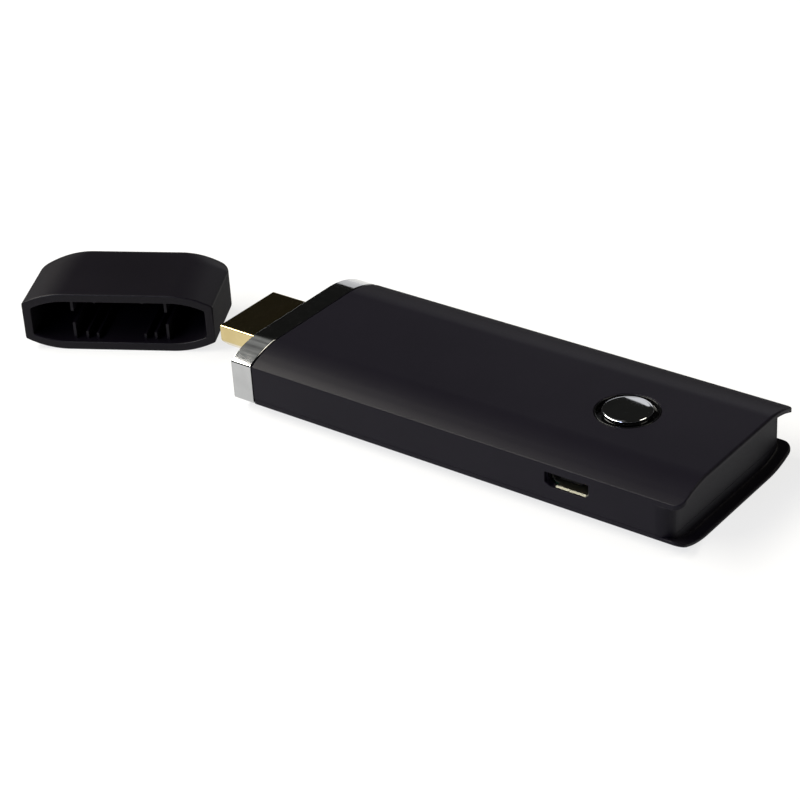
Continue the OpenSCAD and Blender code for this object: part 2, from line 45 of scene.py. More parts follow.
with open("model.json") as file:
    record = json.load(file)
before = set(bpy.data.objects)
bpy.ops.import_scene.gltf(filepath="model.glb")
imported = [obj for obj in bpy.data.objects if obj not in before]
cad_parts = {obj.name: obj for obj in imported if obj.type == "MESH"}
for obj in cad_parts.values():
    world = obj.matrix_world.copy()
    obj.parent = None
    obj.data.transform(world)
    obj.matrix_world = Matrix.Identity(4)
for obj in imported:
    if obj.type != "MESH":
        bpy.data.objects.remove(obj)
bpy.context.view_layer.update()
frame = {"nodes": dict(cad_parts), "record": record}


def node_box(node):
    """Lowest and highest corner of a CAD node, in millimetres."""
    low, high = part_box(node)
    return low / MM, high / MM


# Body section: two arcs run from the flat strip to the creases above the upright sides
case_low, case_high = node_box("top_case")
body_w = case_high.y - case_low.y
body_h = case_high.z
mid_z = body_h / 2
flat_w = 17.6
dome_h = 1.9
dome_run = (body_w - flat_w) / 2
dome_r = (dome_run**2 + dome_h**2) / (2 * dome_h)
case_wall = 1.3

# Stations along the stick
collar_low, collar_high = node_box("nose_collar")
nose_x = collar_low.x
case_x = case_low.x
rear_x = case_high.x
rear_recess = 1.9
wall_x = rear_x - rear_recess
hollow_x = wall_x - case_wall
seam_z = case_low.z

# Rear lips: their tips, and the coves that run from the tips into the wall between them
wall_corner_r = 2.6
lip_corner_r = 1.6
upper_tip_t = 0.8
upper_cove_h = 1.1
lower_tip_t = 0.54
lower_cove_h = 0.2
case_edge_r = 0.15
tip_edge_r = 0.1
rear_edge_r = 0.62
rim_edge_r = 0.36
UPPER_LIP = (upper_tip_t, upper_cove_h, rear_edge_r, tip_edge_r)
LOWER_LIP = (lower_tip_t, lower_cove_h, case_edge_r, rim_edge_r)
front_x = case_x + case_edge_r

# How finely curves are drawn, and how far cutting shapes overrun
ARC_STEPS = 14
EDGE_STEPS = 4
LIP_STEPS = 5
CORNER_STEPS = 14
COVE_STEPS = 8
ROUND_STEPS = 144
POST_STEPS = 48
SNAP_STEPS = 64
FOOT_STEPS = 2
OVERRUN = 1
SMALL_OVERRUN = OVERRUN / 4
SLACK = 0.05

# Button, its bezel and the power socket share one station
button_low, button_high = node_box("button_cap")
bezel_low, bezel_high = node_box("button_bezel")
port_x = (button_low.x + button_high.x) / 2

socket_low, socket_high = node_box("socket_shell")
socket_w = 7.5
socket_t = 0.25
socket_cut = 0.7
socket_h = socket_high.z - socket_low.z
socket_z = (socket_low.z + socket_high.z) / 2
socket_y = socket_low.y
socket_depth = socket_high.y - socket_low.y
socket_lip_r = 0.1
socket_edge_r = 0.02
flare_len = 0.32
flare_h = 0.2
notch_x = 2.3
notch_len = 1.3
socket_tab_w = 1.3
tab_reach = socket_high.x - port_x
slit_w = 0.09
slit_len = 3.2
port_inset = 0.21
port_floor_drop = 0.16
port_wide = 0.45
port_edge_r = 0.1
port_corner_r = 0.18

# Bezel and button, whose side stands a little inside the CAD's
bezel_r = 5.05
bezel_sink = 0.8
bezel_rim_t = 0.25
bezel_flange_t = 0.5
bezel_cove_r = 0.2
button_slim = 0.15
button_r = button_high.x - port_x - button_slim
button_edge_w = 0.4
button_edge_h = 0.2
button_crown = 0.1
button_lift = 0.4
stem_r = 1.6
stem_slack = 0.15
stem_flange_w = 0.6
stem_flange_t = 0.4
stem_foot_r = 1.2

# Snap dome of the push switch, and the thickness of its sheet
snap_low, snap_high = node_box("switch_dome")
snap_t = 0.08

# Circuit board, with the posts and pins that hold it
board_low, board_high = node_box("main_board")
plate_end_x = node_box("nose_plate")[1].x
board_z = board_low.z
board_top_z = board_high.z
post_r = 1.5
pin_r = 0.7
pin_rise = 2
pin_top_z = board_top_z + pin_rise
bore_top_z = pin_top_z + SLACK
front_post_inset = 5.8
rear_post_inset = 4.1
side_post_inset = 2.3
post_places = [
    (x, side * (board_high.y - side_post_inset))
    for x in (board_low.x + front_post_inset, board_high.x - rear_post_inset)
    for side in (-1, 1)
]
rib_t = 1
rib_len_share = 0.8
rib_apart_share = 0.7
skirt_t = 0.7
skirt_gap = 0.3
groove_d = 0.05
groove_h = 0.06

# Collar, plug and cap
collar_edge_r = 0.35
collar_rim_r = 0.18
plug_low, plug_high = node_box("plug_shell")
plug_w = 13.9
plug_h = 4.45
plug_high_z = plug_high.z
plug_t = 0.3
plug_side_share = 0.62
plug_foot_share = 0.76
plug_edge_r = 0.32
plug_bend_r = 0.35
plug_lip_r = 0.15
plug_tab_len = 1.2
cap_len = 17.6
cap_wall = 1.5
cap_corner_r = 5.2
cap_edge_r = 2
cap_ahead = 28.8
cap_aside = 11.75
cap_turn = 61.5
cap_crease_r = 0.3
cap_rim_r = 0.25
guide_rib_y = 8
guide_rib_t = 0.45
guide_rib_hi = 2.2
guide_rib_lo = 3
grip_rib_t = 0.4
grip_top_y = 4.1
grip_top_h = 0.7
grip_low = [(4.1, 1.1), (5.9, 1.4)]
rib_back = 1.2
rib_len = 11

# Angle between faces above which an edge stays sharp
SHARP = math.radians(32)


# Meshes

def make_piece(name, mesh_data):
    """New object of a bmesh, with its faces turned outwards."""
    bmesh.ops.recalc_face_normals(mesh_data, faces=mesh_data.faces)
    mesh = bpy.data.meshes.new(name)
    mesh_data.to_mesh(mesh)
    mesh_data.free()
    piece = bpy.data.objects.new(name, mesh)
    bpy.context.scene.collection.objects.link(piece)
    return piece


def loft(name, rings, cyclic=False):
    """Solid through rings of points. A cyclic one closes on itself, any other has flat ends."""
    data = bmesh.new()
    rows = [[data.verts.new(Vector(point) * MM) for point in ring] for ring in rings]
    following = rows[1:] + rows[:1] if cyclic else rows[1:]
    for row, after in zip(rows, following):
        for i in range(len(row)):
            j = (i + 1) % len(row)
            data.faces.new((row[i], row[j], after[j], after[i]))
    if not cyclic:
        data.faces.new(rows[0])
        data.faces.new(rows[-1])
    return make_piece(name, data)


def along_x(outline, x):
    return [(x, y, z) for y, z in outline]


def along_y(outline, y):
    return [(x, y, z) for x, z in outline]


def along_z(outline, z):
    return [(x, y, z) for x, y in outline]


def circle(x, y, r, steps):
    angles = [2 * math.pi * i / steps for i in range(steps)]
    return [(x + r * math.cos(a), y + r * math.sin(a)) for a in angles]


def box(name, low, high):
    """Solid box between two corners."""
    outline = [(low[0], low[1]), (high[0], low[1]), (high[0], high[1]), (low[0], high[1])]
    return loft(name, [along_z(outline, low[2]), along_z(outline, high[2])])


def lathe(name, x, y, profile, steps=ROUND_STEPS):
    """Solid of revolution about an upright axis. The profile lists radius and height, and closes
    on itself unless it starts and ends on the axis."""
    data = bmesh.new()
    on_axis = profile[0][0] == 0 and profile[-1][0] == 0
    inner = profile[1:-1] if on_axis else profile
    rows = []
    for r, z in inner:
        ring = along_z(circle(x, y, r, steps), z)
        rows.append([data.verts.new(Vector(point) * MM) for point in ring])
    following = rows[1:] if on_axis else rows[1:] + rows[:1]
    for row, after in zip(rows, following):
        for i in range(steps):
            j = (i + 1) % steps
            data.faces.new((row[i], row[j], after[j], after[i]))
    if on_axis:
        for row, (_, z) in ((rows[0], profile[0]), (rows[-1], profile[-1])):
            pole = data.verts.new(Vector((x, y, z)) * MM)
            for i in range(steps):
                data.faces.new((row[i], row[(i + 1) % steps], pole))
    return make_piece(name, data)


def combine(piece, operation, *tools):
    """Cuts, joins or intersects a piece with closed tools, which are then removed."""
    for tool in tools:
        change = piece.modifiers.new(operation, "BOOLEAN")
        change.operation = operation
        change.solver = "EXACT"
        change.object = tool
        graph = bpy.context.evaluated_depsgraph_get()
        mesh = bpy.data.meshes.new_from_object(piece.evaluated_get(graph))
        piece.modifiers.clear()
        piece.data = mesh
        bpy.data.objects.remove(tool)
    return piece


def curve_points(start, corner, end, steps):
    """Points of a smooth curve from start to end, bent towards a corner, without its start."""
    points = []
    for i in range(1, steps + 1):
        t = i / steps
        points.append(
            tuple(
                (1 - t) ** 2 * a + 2 * t * (1 - t) * b + t * t * c
                for a, b, c in zip(start, corner, end)
            )
        )
    return points


def rounded(outline, radii, steps=EDGE_STEPS):
    """Outline with each corner cut back by its own distance and bent smoothly round."""
    points = []
    count = len(outline)
    for i, corner in enumerate(outline):
        before = Vector(outline[i - 1])
        after = Vector(outline[(i + 1) % count])
        at = Vector(corner)
        start = at + (before - at).normalized() * radii[i]
        end = at + (after - at).normalized() * radii[i]
        points.append(tuple(start))
        points.extend(curve_points(tuple(start), corner, tuple(end), steps))
    return points


def soften(piece):
    """Smooth shading that keeps sharp edges sharp and large faces flat."""
    mesh = piece.data
    mesh.shade_smooth()
    mesh.set_sharp_from_angle(angle=SHARP)
    normals = piece.modifiers.new("flat_faces", "WEIGHTED_NORMAL")
    normals.keep_sharp = True
    return piece


def weld(piece):
    """Joins points that lie on each other, so that no face without area is left."""
    change = piece.modifiers.new("weld", "WELD")
    change.merge_threshold = WELD_GAP * MM
    return piece


def dress(piece, body, slot, material, *nodes):
    """Puts a piece on its body and gives it its finish. It stands for the CAD nodes named."""
    soften(piece)
    piece.data.materials.clear()
    piece.data.materials.append(material)
    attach(piece, body)
    if nodes:
        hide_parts(*nodes)
    return piece


# The body's section

def dome_z(y, inset=0.0):
    """Height of the domed top at a distance from the middle, moved inwards."""
    run = max(0.0, abs(y) - flat_w / 2)
    r = dome_r - inset
    return body_h - inset - r + math.sqrt(r * r - run * run)


def section(inset=0.0, edge_r=0.0):
    """Closed outline of the body in Y and Z, moved inwards, with rounded creases."""
    half = body_w / 2 - inset
    r = dome_r - inset
    sweep = math.asin((half - edge_r - flat_w / 2) / r)
    quarter = []
    for i in range(ARC_STEPS + 1):
        angle = sweep * i / ARC_STEPS
        y = flat_w / 2 + r * math.sin(angle)
        quarter.append((y, body_h - inset - r * (1 - math.cos(angle))))
    crease = (half, dome_z(half, inset))
    quarter.extend(curve_points(quarter[-1], crease, (half, crease[1] - edge_r), EDGE_STEPS))
    right = quarter + [(y, body_h - z) for y, z in reversed(quarter)]
    return right + [(-y, z) for y, z in reversed(right)]


def shrunk(outline, by):
    """Outline in Y and Z moved inwards a little, about the middle of the body."""
    across = 1 - by / (body_w / 2)
    up = 1 - by / mid_z
    return [(y * across, mid_z + (z - mid_z) * up) for y, z in outline]


def ring_along_x(outer, inner, x0, x1, edge_r):
    """Rings of a hollow ring that runs along X, with rounded outer edges at both ends."""
    rings = []
    for i in range(EDGE_STEPS + 1):
        angle = math.pi / 2 * i / EDGE_STEPS
        start = shrunk(outer, edge_r * (1 - math.sin(angle)))
        rings.append(along_x(start, x0 + edge_r * (1 - math.cos(angle))))
    for i in range(EDGE_STEPS + 1):
        angle = math.pi / 2 * i / EDGE_STEPS
        end = shrunk(outer, edge_r * (1 - math.cos(angle)))
        rings.append(along_x(end, x1 - edge_r * (1 - math.sin(angle))))
    return rings + [along_x(inner, x1), along_x(inner, x0)]


# The case

def rim_path():
    """Samples along the rear lips from the near side to the far side: outer point, direction
    inwards and point of the wall behind it."""
    side = body_w / 2
    start_x = wall_x - wall_corner_r
    lip_x = rear_x - lip_corner_r
    straight = lip_x - start_x
    arc = math.pi / 2 * lip_corner_r
    end_y = side - wall_corner_r
    rest = (side - lip_corner_r) - end_y
    total = straight + arc + rest
    half = [(Vector((front_x, -side)), Vector((0, 1)), Vector((front_x, -side)))]

    def wall_at(share):
        angle = math.pi / 2 * share
        x = start_x + wall_corner_r * math.sin(angle)
        return Vector((x, -end_y - wall_corner_r * math.cos(angle)))

    straight_steps = CORNER_STEPS // 2
    for i in range(straight_steps):
        run = straight * i / straight_steps
        half.append((Vector((start_x + run, -side)), Vector((0, 1)), wall_at(run / total)))
    for i in range(CORNER_STEPS + 1):
        angle = math.pi / 2 * i / CORNER_STEPS
        inward = Vector((-math.sin(angle), math.cos(angle)))
        centre = Vector((lip_x, -(side - lip_corner_r)))
        run = straight + arc * i / CORNER_STEPS
        half.append((centre - inward * lip_corner_r, inward, wall_at(run / total)))
    half.append((Vector((rear_x, -end_y)), Vector((-1, 0)), Vector((wall_x, -end_y))))
    for i in range(1, ARC_STEPS + 1):
        y = end_y + (flat_w / 2 - end_y) * i / ARC_STEPS
        half.append((Vector((rear_x, -y)), Vector((-1, 0)), Vector((wall_x, -y))))
    far = [tuple(Vector((v.x, -v.y)) for v in sample) for sample in reversed(half)]
    return half + far


def lip_profile(outer, inward, wall, tip_t, cove_h, face_r, under_r):
    """Points of a lip from its upper face round its tip and along its cove to the wall. Its two
    edges have their own radii, of which the first shrinks to the case's at the corners."""
    middle = 1 - (outer.y / (body_w / 2)) ** 2
    edge_r = case_edge_r + (face_r - case_edge_r) * middle * -inward.x
    face = outer + inward * edge_r
    edge_z = dome_z(outer.y)
    start = (face.x, face.y, dome_z(face.y))
    tip_high = (outer.x, outer.y, edge_z - edge_r)
    points = [start]
    points += curve_points(start, (outer.x, outer.y, edge_z), tip_high, LIP_STEPS)
    depth = (wall - outer).length
    turn = min(1.0, under_r / depth) if depth > 0 else 0.0
    under = outer.lerp(wall, turn)
    tip_low = (outer.x, outer.y, edge_z - tip_t + under_r)
    points.append(tip_low)
    tip_end = (under.x, under.y, edge_z - tip_t)
    points += curve_points(tip_low, (outer.x, outer.y, edge_z - tip_t), tip_end, LIP_STEPS)
    for i in range(1, COVE_STEPS + 1):
        angle = math.pi / 2 * i / COVE_STEPS
        at = under.lerp(wall, math.sin(angle))
        rise = dome_z(at.y) - dome_z(outer.y)
        points.append((at.x, at.y, edge_z + rise - tip_t - cove_h * (1 - math.cos(angle))))
    return points


def case_solid():
    """Outside of the whole case: domed faces, upright sides, and the hollow rear end."""
    levels = []
    for outer, inward, wall in rim_path():
        upper = lip_profile(outer, inward, wall, *UPPER_LIP)
        lower = lip_profile(outer, inward, wall, *LOWER_LIP)
        levels.append(upper + [(x, y, body_h - z) for x, y, z in reversed(lower)])
    data = bmesh.new()
    columns = [[data.verts.new(Vector(point) * MM) for point in column] for column in levels]
    for column, after in zip(columns, columns[1:]):
        for i in range(len(column) - 1):
            data.faces.new((column[i], column[i + 1], after[i + 1], after[i]))
    half = len(columns) // 2
    straight = CORNER_STEPS // 2 + 1
    ends = []
    for level in (0, -1):
        front = {0: columns[0][level], len(columns) - 1: columns[-1][level]}
        for j in range(straight + 1, len(columns) - straight - 1):
            at = columns[j][level].co
            front[j] = data.verts.new((front_x * MM, at.y, at.z))
        near = [columns[j][level] for j in range(straight + 2)]
        far = [columns[-1 - j][level] for j in range(straight + 2)]
        data.faces.new(near + [front[straight + 1]])
        data.faces.new(far + [front[len(columns) - straight - 2]])
        for j in range(straight + 1, len(columns) - straight - 2):
            data.faces.new((front[j], columns[j][level], columns[j + 1][level], front[j + 1]))
        ends.append([front[j] for j in sorted(front)])
    loop = ends[0][:-1] + columns[-1][:-1] + ends[1][:0:-1] + columns[0][:0:-1]
    rim = [vertex.co / MM for vertex in loop]
    previous = loop
    for i in range(1, EDGE_STEPS + 1):
        angle = math.pi / 2 * i / EDGE_STEPS
        moved = shrunk([(p.y, p.z) for p in rim], case_edge_r * (1 - math.cos(angle)))
        x = front_x - case_edge_r * math.sin(angle)
        row = [data.verts.new(Vector((x, y, z)) * MM) for y, z in moved]
        for a in range(len(row)):
            b = (a + 1) % len(row)
            data.faces.new((previous[a], previous[b], row[b], row[a]))
        previous = row
    data.faces.new(previous)
    return make_piece("case", data)


def port_outline(inset, drop=0.0, wide=0.0):
    """Outline of the power socket in X and Z, moved inwards, with its floor dropped and its left
    side moved out. Its two lower corners are cut away."""
    w = socket_w / 2 - inset
    h = socket_h / 2 - inset
    c = socket_cut - inset / 2
    low = -h - drop
    left = -w - wide
    corners = [(left, h), (left, low + c), (c - w, low), (w - c, low), (w, low + c), (w, h)]
    outline = rounded(corners, [port_corner_r] * len(corners))
    return [(port_x + x, socket_z + z) for x, z in outline]


def seam_groove():
    """Fine groove that marks the parting line on the outside of the case."""
    side = body_w / 2 - groove_d
    end_x = wall_x - groove_d
    outline = [(case_x - OVERRUN, -side), (end_x, -side), (end_x, side), (case_x - OVERRUN, side)]
    plan = rounded(outline, [groove_d, wall_corner_r, wall_corner_r, groove_d], CORNER_STEPS)
    low, high = seam_z - groove_h / 2, seam_z + groove_h / 2
    groove = box("groove", (case_x - OVERRUN, -body_w, low), (rear_x + OVERRUN, body_w, high))
    core = loft("core", [along_z(plan, low - OVERRUN), along_z(plan, high + OVERRUN)])
    return combine(groove, "DIFFERENCE", core)


def hollow():
    inner = section(case_wall)
    return loft("hollow", [along_x(inner, case_x - OVERRUN), along_x(inner, hollow_x)])


def half_space(name, low_z, high_z):
    return box(name, (case_x - OVERRUN, -body_w, low_z), (rear_x + OVERRUN, body_w, high_z))


def under_faces(piece):
    """Cuts a piece that stands inside the case off in the middle of its wall."""
    middle = section(case_wall / 2)
    core = loft("middle", [along_x(middle, case_x), along_x(middle, wall_x)])
    return combine(piece, "INTERSECT", core)


def posts(name, r, low_z, high_z):
    """Four upright round posts at the corners of the circuit board."""
    made = []
    for x, y in post_places:
        outline = circle(x, y, r, POST_STEPS)
        made.append(under_faces(loft(name, [along_z(outline, low_z), along_z(outline, high_z)])))
    return made


def top_case():
    """Upper shell: holes for the bezel and the socket, four bosses, and two ribs inside."""
    below = half_space("below", -OVERRUN, seam_z)
    shell = combine(case_solid(), "DIFFERENCE", hollow(), below)
    combine(shell, "UNION", *posts("boss", post_r, board_top_z, body_h))
    spread_low, spread_high = node_box("heat_spreader")
    length = (spread_high.x - spread_low.x) * rib_len_share / 2
    middle = (spread_low.x + spread_high.x) / 2
    for side in (-1, 1):
        y = side * rib_apart_share * spread_high.y
        low = (middle - length, y - rib_t / 2, spread_high.z)
        rib = box("rib", low, (middle + length, y + rib_t / 2, body_h))
        combine(shell, "UNION", under_faces(rib))
    bores = posts("bore", pin_r + SLACK, board_top_z - OVERRUN, bore_top_z)
    combine(shell, "DIFFERENCE", *bores)
    wide_r = bezel_r + case_edge_r
    low_edge = (bezel_r, body_h - case_edge_r)
    flare = [(wide_r, body_h + OVERRUN), (wide_r, body_h)]
    flare += curve_points(flare[-1], (bezel_r, body_h), low_edge, EDGE_STEPS)
    hole = [(0, body_h + OVERRUN)] + flare + [(bezel_r, mid_z), (0, mid_z)]
    combine(shell, "DIFFERENCE", lathe("button_hole", port_x, 0, hole))
    outside = -body_w / 2
    widened = (port_floor_drop, port_wide)
    rings = [along_y(port_outline(port_inset - port_edge_r, *widened), outside - OVERRUN)]
    for i in range(EDGE_STEPS + 1):
        angle = math.pi / 2 * i / EDGE_STEPS
        outline = port_outline(port_inset - port_edge_r * (1 - math.sin(angle)), *widened)
        rings.append(along_y(outline, outside + port_edge_r * (1 - math.cos(angle))))
    rings.append(along_y(port_outline(port_inset, *widened), socket_y + SMALL_OVERRUN))
    combine(shell, "DIFFERENCE", loft("port", rings))
    seat = port_outline(-SLACK)
    seat_rings = [along_y(seat, socket_y - SLACK), along_y(seat, outside + case_wall + OVERRUN)]
    combine(shell, "DIFFERENCE", loft("port_seat", seat_rings), seam_groove())
    shell.name = "case_top_shell"
    return shell


def bottom_cover():
    """Lower shell with its posts and pins, and the skirts that stand inside the upper shell."""
    above = half_space("above", seam_z, body_h + OVERRUN)
    shell = combine(case_solid(), "DIFFERENCE", hollow(), above)
    combine(shell, "UNION", *posts("post", post_r, 0, board_z))
    combine(shell, "UNION", *posts("pin", pin_r, 0, pin_top_z))
    skirt_y = body_w / 2 - case_wall - SLACK
    for side in (-1, 1):
        near, far = sorted((side * skirt_y, side * (skirt_y - skirt_t)))
        low = (plate_end_x + SLACK, near, 0)
        skirt = box("skirt", low, (board_high.x, far, board_z - skirt_gap))
        combine(shell, "UNION", under_faces(skirt))
    combine(shell, "DIFFERENCE", seam_groove())
    shell.name = "case_bottom_shell"
    return shell


# The nose

def collar():
    outer = section(0, collar_edge_r)
    inner = section(case_wall)
    rings = ring_along_x(outer, inner, nose_x, collar_high.x, collar_rim_r)
    return weld(loft("collar_ring", rings, cyclic=True))


def plug_outline(inset):
    """Outline of the plug's shell in Y and Z, moved inwards, with its lower corners cut away."""
    w = plug_w / 2 - inset
    top = plug_high_z - inset
    low = plug_high_z - plug_h + inset
    side_low = plug_high_z - plug_side_share * plug_h
    foot = plug_foot_share * plug_w / 2 - inset / 2
    corners = [(-w, side_low), (-foot, low), (foot, low), (w, side_low), (w, top), (-w, top)]
    bend = plug_bend_r - inset
    edge = plug_edge_r - inset
    return rounded(corners, [bend, bend, bend, bend, edge, edge])


def plug():
    """Folded metal shell of the plug, with its two tabs on the board."""
    x0, x1 = plug_low.x, plug_high.x
    rings = []
    for i in range(EDGE_STEPS + 1):
        angle = math.pi / 2 * i / EDGE_STEPS
        inset = plug_lip_r * (1 - math.sin(angle))
        rings.append(along_x(plug_outline(inset), x0 + plug_lip_r * (1 - math.cos(angle))))
    rings.append(along_x(plug_outline(0), x1))
    rings.append(along_x(plug_outline(plug_t), x1))
    rings.append(along_x(plug_outline(plug_t), x0))
    shell = loft("plug_metal", rings, cyclic=True)
    for side in (-1, 1):
        near, far = sorted((side * (plug_w / 2 - plug_t / 2), side * plug_high.y))
        low = (board_low.x + SLACK, near, board_top_z)
        high = (board_low.x + SLACK + plug_tab_len, far, board_top_z + plug_t)
        combine(shell, "UNION", box("tab", low, high))
    return shell


# The cap

def cap_ring(x, inset):
    """Outline of the cap at a distance from its mouth, narrowing to the rounded closed end."""
    length = cap_len - inset
    corner_r = cap_corner_r - inset
    edge_r = cap_edge_r - inset / 2
    half_w = body_w / 2 - inset
    half_h = mid_z - inset
    into_corner = max(0.0, x - (length - corner_r))
    into_edge = max(0.0, x - (length - edge_r))
    across = (half_w - corner_r + math.sqrt(corner_r**2 - into_corner**2)) / half_w
    up = (half_h - edge_r + math.sqrt(edge_r**2 - into_edge**2)) / half_h
    outline = section(inset, cap_crease_r)
    return [(-x, y * across, mid_z + (z - mid_z) * up) for y, z in outline]


def cap_stations(inset):
    """Distances from the mouth at which the cap's outline is drawn, closer where it turns."""
    length = cap_len - inset
    corner_r = cap_corner_r - inset
    edge_r = cap_edge_r - inset / 2
    found = {0.0}
    for i in range(CORNER_STEPS * 2 + 1):
        share = i / (CORNER_STEPS * 2)
        found.add(length - corner_r + corner_r * math.sin(math.pi / 2 * share))
        found.add(length - edge_r + edge_r * math.sin(math.pi / 2 * share))
    return sorted(found)


def cap():
    """Push-on cap, lying where it was put down: a thin shell with grip ribs in its mouth."""
    rings = []
    mouth = cap_ring(0.0, 0.0)
    for i in range(EDGE_STEPS):
        angle = math.pi / 2 * i / EDGE_STEPS
        flat = shrunk([(y, z) for _, y, z in mouth], cap_rim_r * (1 - math.sin(angle)))
        rings.append([(-cap_rim_r * (1 - math.cos(angle)), y, z) for y, z in flat])
    rings.extend(cap_ring(x, 0.0) for x in cap_stations(0.0) if x > cap_rim_r / 2)
    shell = loft("cap_shell", rings)
    inside = [cap_ring(x, cap_wall) for x in cap_stations(cap_wall)]
    first = [(y, z) for _, y, z in inside[0]]
    inside[0] = [(-cap_rim_r, y, z) for y, z in first]
    for i in range(1, EDGE_STEPS + 1):
        angle = math.pi / 2 * i / EDGE_STEPS
        flat = shrunk(first, -cap_rim_r * (1 - math.cos(angle)))
        inside.insert(0, [(-cap_rim_r * (1 - math.sin(angle)), y, z) for y, z in flat])
    inside.insert(0, [(OVERRUN, y, z) for _, y, z in inside[0]])
    combine(shell, "DIFFERENCE", loft("cap_hollow", inside))
    x0, x1 = -rib_back - rib_len, -rib_back
    upper_z = body_h - cap_wall
    ribs = []
    root_low, root_high = cap_wall / 2, body_h - cap_wall / 2
    for side in (-1, 1):
        ribs.append((side * guide_rib_y, guide_rib_t, upper_z - guide_rib_hi, root_high))
        ribs.append((side * guide_rib_y, guide_rib_t, root_low, cap_wall + guide_rib_lo))
        ribs.append((side * grip_top_y, grip_rib_t, upper_z - grip_top_h, root_high))
        for y, height in grip_low:
            ribs.append((side * y, grip_rib_t, root_low, cap_wall + height))
    for y, thick, low_z, high_z in ribs:
        rib = box("cap_rib", (x0, y - thick / 2, low_z), (x1, y + thick / 2, high_z))
        combine(shell, "UNION", rib)
    turn = Matrix.Rotation(-math.radians(cap_turn), 4, "Z")
    place = Matrix.Translation(Vector((nose_x - cap_ahead, -cap_aside, 0)) * MM)
    shell.data.transform(place @ turn)
    return shell


# The button and the socket

def bezel():
    """Glossy cup round the button, held under the case by a flange."""
    r = bezel_r - SLACK
    floor_z = body_h - bezel_sink
    rim = bezel_rim_t / 2
    inner_r = r - bezel_rim_t
    profile = [(r, bezel_low.z + bezel_flange_t), (r, body_h - rim)]
    profile += curve_points(profile[-1], (r, body_h), (r - rim, body_h), EDGE_STEPS)
    profile += curve_points(profile[-1], (inner_r, body_h), (inner_r, body_h - rim), EDGE_STEPS)
    profile.append((inner_r, floor_z + bezel_cove_r))
    cove_end = (inner_r - bezel_cove_r, floor_z)
    profile += curve_points(profile[-1], (inner_r, floor_z), cove_end, EDGE_STEPS)
    bore_r = stem_r + stem_slack
    flange_r = bezel_high.x - port_x
    profile += [(bore_r, floor_z), (bore_r, bezel_low.z), (flange_r, bezel_low.z)]
    profile.append((flange_r, bezel_low.z + bezel_flange_t))
    return lathe("bezel_ring", port_x, 0, profile)


def button():
    """Crowned push button on its stem, with the flange that holds it under the bezel."""
    top = button_high.z
    flat_r = button_r - button_edge_w
    crown_r = (flat_r**2 + button_crown**2) / (2 * button_crown)
    profile = []
    for i in range(ARC_STEPS * 2 + 1):
        r = flat_r * i / (ARC_STEPS * 2)
        profile.append((r, top - crown_r + math.sqrt(crown_r**2 - r * r)))
    edge_z = top - button_crown
    corner = (button_r, edge_z)
    profile += curve_points(profile[-1], corner, (button_r, edge_z - button_edge_h), ARC_STEPS)
    under = body_h - bezel_sink + button_lift
    stem_low = bezel_low.z - SLACK
    flange_r = stem_r + stem_flange_w
    profile.append((button_r, under + tip_edge_r))
    foot = (button_r - tip_edge_r, under)
    profile += curve_points(profile[-1], (button_r, under), foot, FOOT_STEPS)
    profile += [(stem_r, under), (stem_r, stem_low), (flange_r, stem_low)]
    profile += [(flange_r, stem_low - stem_flange_t), (stem_foot_r, stem_low - stem_flange_t)]
    profile += [(stem_foot_r, button_low.z), (0, button_low.z)]
    return lathe("push_button", port_x, 0, profile)


def snap_dome():
    """Thin sprung dome of the push switch, under the button's stem."""
    r = snap_high.y
    rise = snap_high.z - snap_low.z
    outer_r = (r * r + rise * rise) / (2 * rise)
    inner_r = outer_r - snap_t
    centre_z = snap_high.z - outer_r
    inner_foot = math.sqrt(inner_r**2 - (outer_r - rise) ** 2)
    profile = []
    for i in range(ARC_STEPS + 1):
        at = r * i / ARC_STEPS
        profile.append((at, centre_z + math.sqrt(outer_r**2 - at * at)))
    for i in range(ARC_STEPS, -1, -1):
        at = inner_foot * i / ARC_STEPS
        profile.append((at, centre_z + math.sqrt(inner_r**2 - at * at)))
    return lathe("snap_dome", port_x, 0, profile, SNAP_STEPS)


